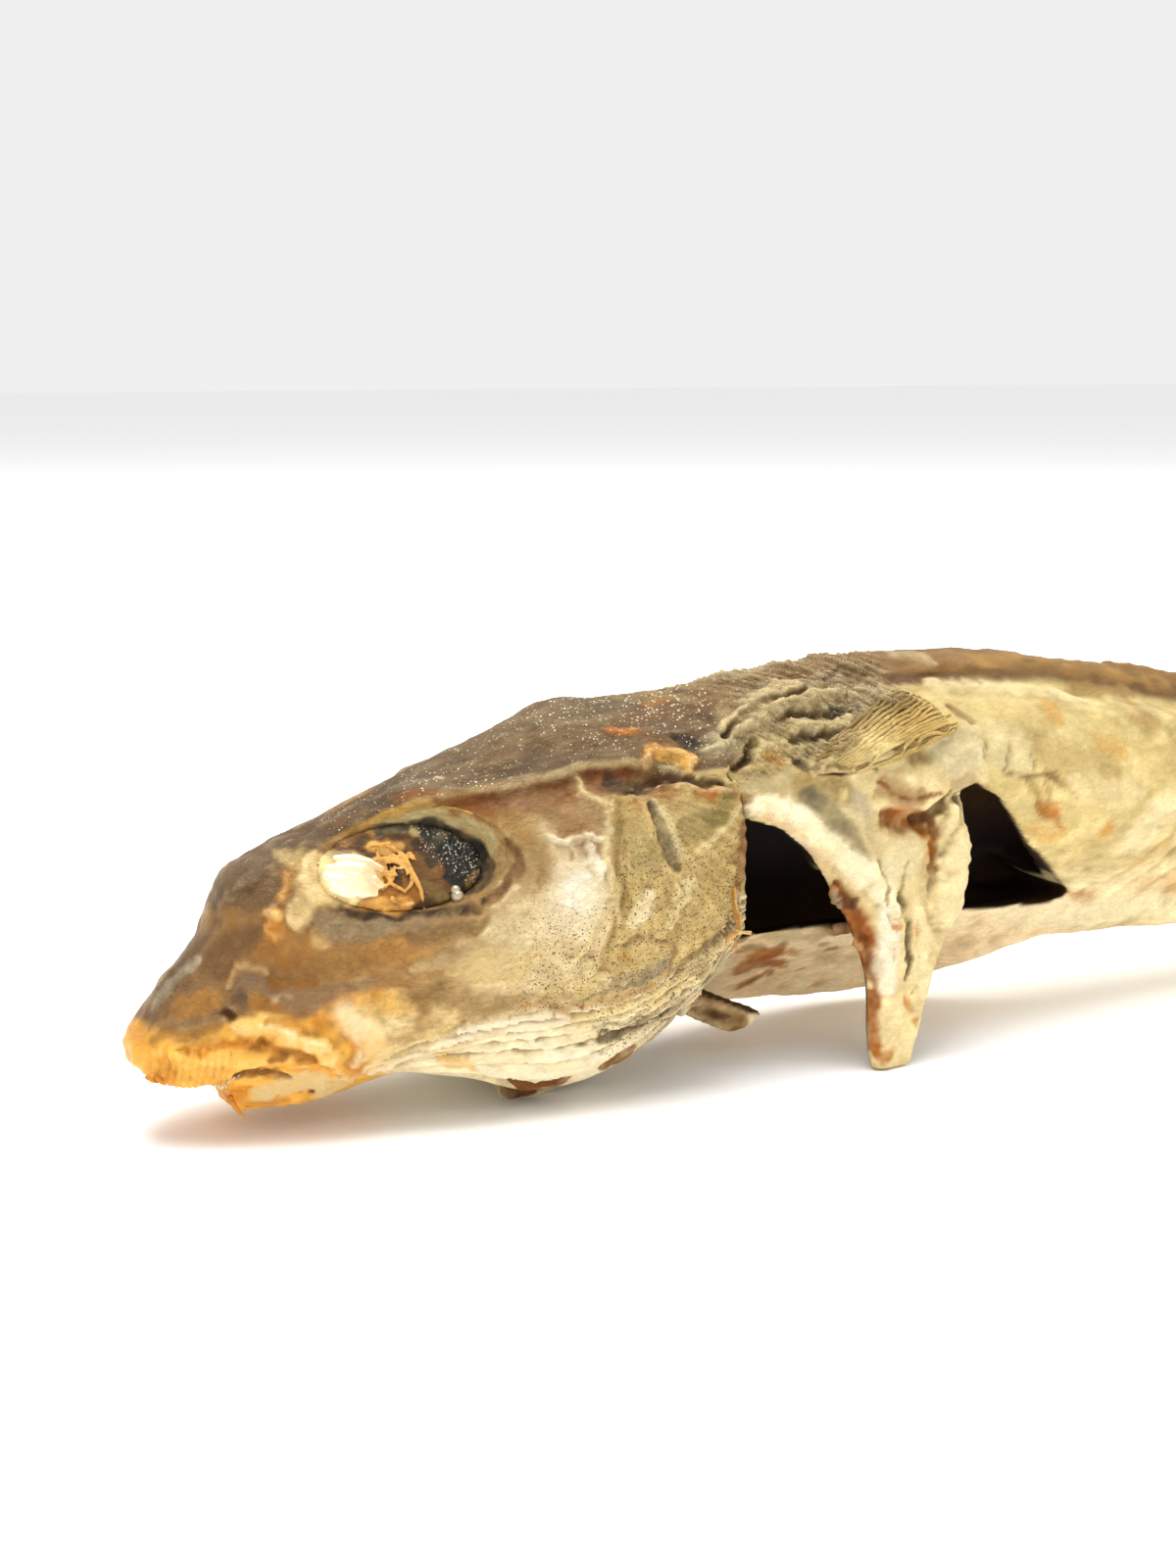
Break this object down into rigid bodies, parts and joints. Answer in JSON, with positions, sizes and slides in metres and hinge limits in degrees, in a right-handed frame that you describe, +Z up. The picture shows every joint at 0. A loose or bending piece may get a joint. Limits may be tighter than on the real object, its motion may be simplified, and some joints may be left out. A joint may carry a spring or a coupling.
{
  "type": "dried stockfish",
  "caption": "Small whole dried cod lying on its throat, gutted through the left side, with sunken eyes, an open gill slit and a dried-out tail fin.",
  "frame": {"origin": "on the floor under the middle of the fish's length and width", "axes": "+X from the snout towards the tail, +Y towards the fish's right flank, +Z up"},
  "size_m": [0.3544, 0.0474, 0.0626],
  "materials": {
    "dried_fish": "air-dried fish skin: straw-yellow flank, grey-brown back, amber jaws, faint waxy sheen",
    "dried_eye": "shrunken eye: amber jelly and a grainy black iris, glossy in front"
  },
  "bodies": {
    "root": {"stockfish": "dried_fish", "eye_left": "dried_eye", "eye_right": "dried_eye"}
  },
  "joints": []
}
